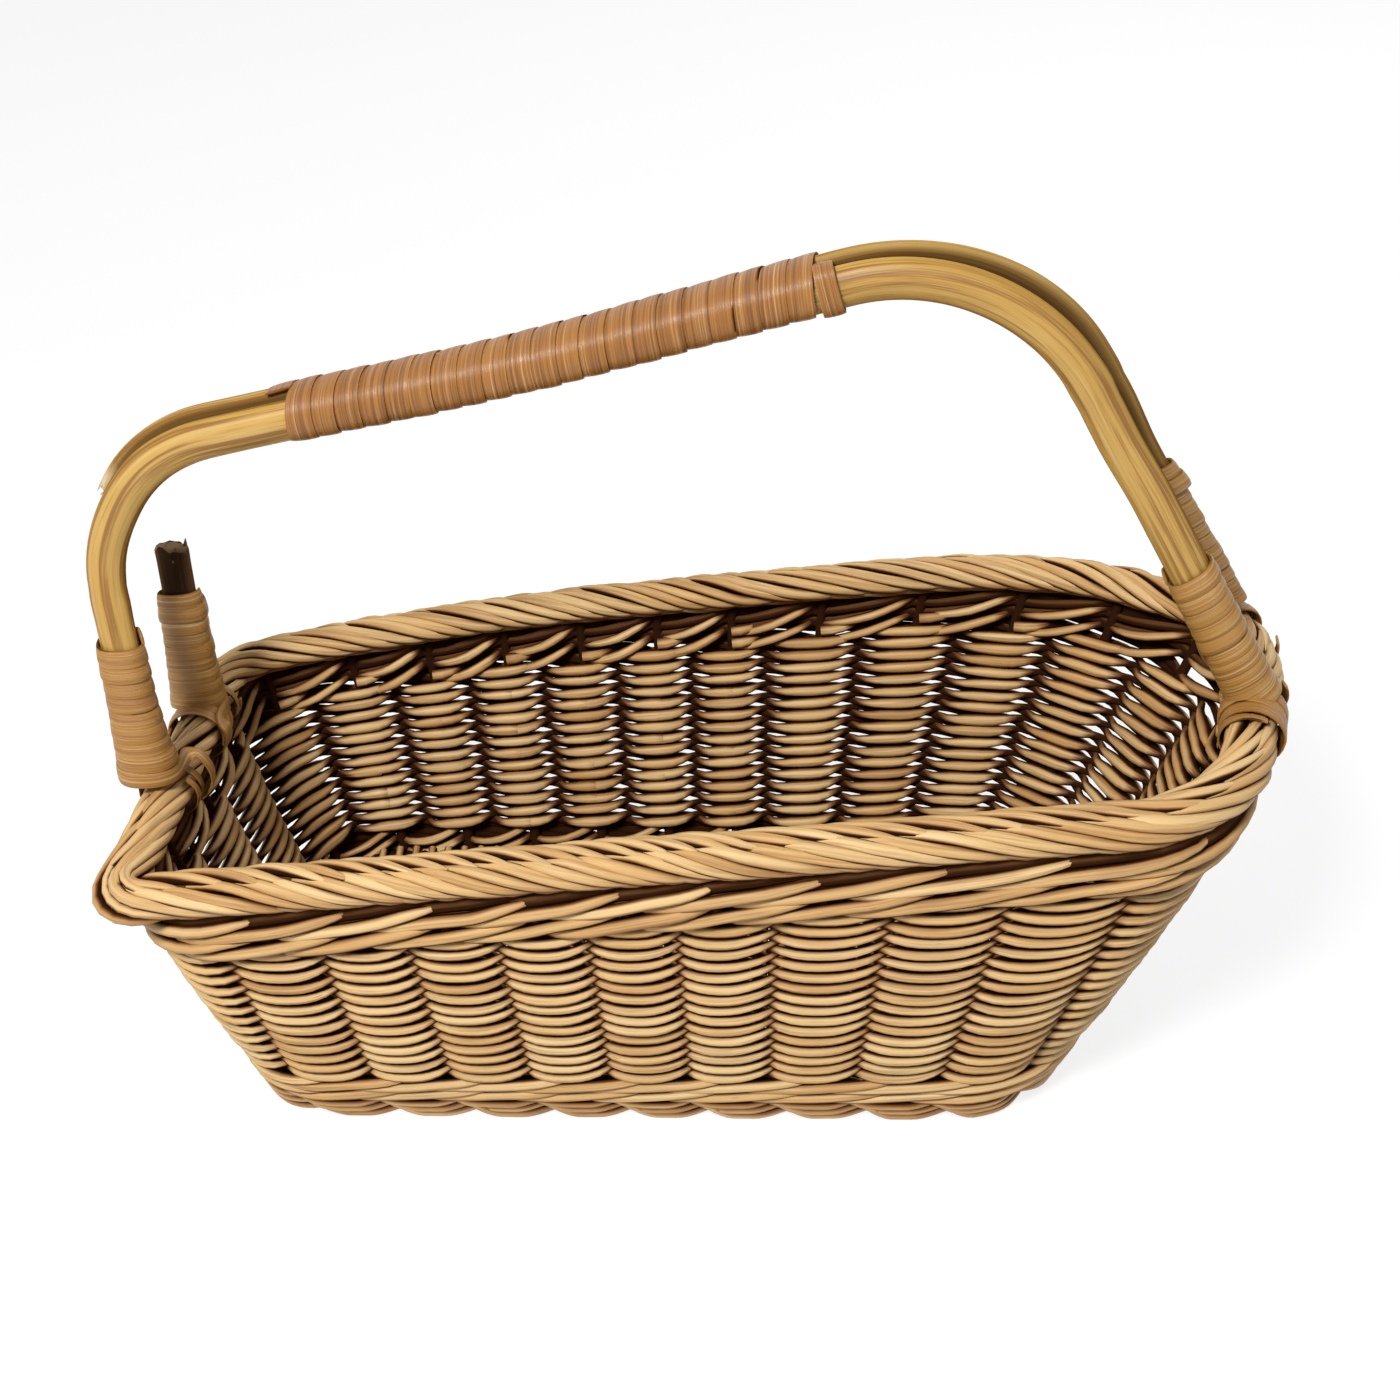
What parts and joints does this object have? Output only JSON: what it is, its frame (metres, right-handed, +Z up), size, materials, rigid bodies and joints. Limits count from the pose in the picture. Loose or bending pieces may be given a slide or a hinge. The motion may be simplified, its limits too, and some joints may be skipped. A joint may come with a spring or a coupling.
{
  "type": "wine bottle basket",
  "caption": "Small oblong wicker cradle basket that holds a wine bottle lying down, open at the top, with a tall bound cane handle arched from end to end.",
  "frame": {"origin": "middle of the underside of the whole object's box, on the table", "axes": "+X along the basket towards its higher end, where the bottle's neck rests; +Y away from the front long side that the picture shows; +Z up"},
  "size_m": [0.3144, 0.141, 0.2271],
  "materials": {
    "reed": "honey tan round reed with a worn clear varnish",
    "cane": "yellow ochre split cane with its glossy rind",
    "peel": "red-brown flat peel, satin",
    "old_cane": "dark, dry, split cane, dull"
  },
  "bodies": {
    "root": {"foot_border": "reed", "base_panel": "reed", "lower_wale": "reed", "side_weave": "reed", "upper_wale": "reed", "rim_border": "reed", "base_stick_1": "reed", "base_stick_2": "reed", "base_stick_3": "reed", "base_stick_4": "reed", "base_stick_5": "reed", "stake_01": "reed", "stake_02": "reed", "stake_03": "reed", "stake_04": "reed", "stake_05": "reed", "stake_06": "reed", "stake_07": "reed", "stake_08": "reed", "stake_09": "reed", "stake_10": "reed", "stake_11": "reed", "stake_12": "reed", "stake_13": "reed", "stake_14": "reed", "stake_15": "reed", "stake_16": "reed", "stake_17": "reed", "stake_18": "reed", "stake_19": "reed", "stake_20": "reed", "stake_21": "reed", "stake_22": "reed", "stake_23": "reed", "stake_24": "reed", "stake_25": "reed", "stake_26": "reed", "stake_27": "reed", "stake_28": "reed", "handle_cane_front": "cane", "handle_cane_rear": "cane", "handle_stub_rear_low": "old_cane", "grip_wrap": "peel", "leg_wrap_front_low": "peel", "leg_wrap_rear_low": "peel", "leg_wrap_front_high": "peel", "leg_wrap_rear_high": "peel"}
  },
  "joints": []
}
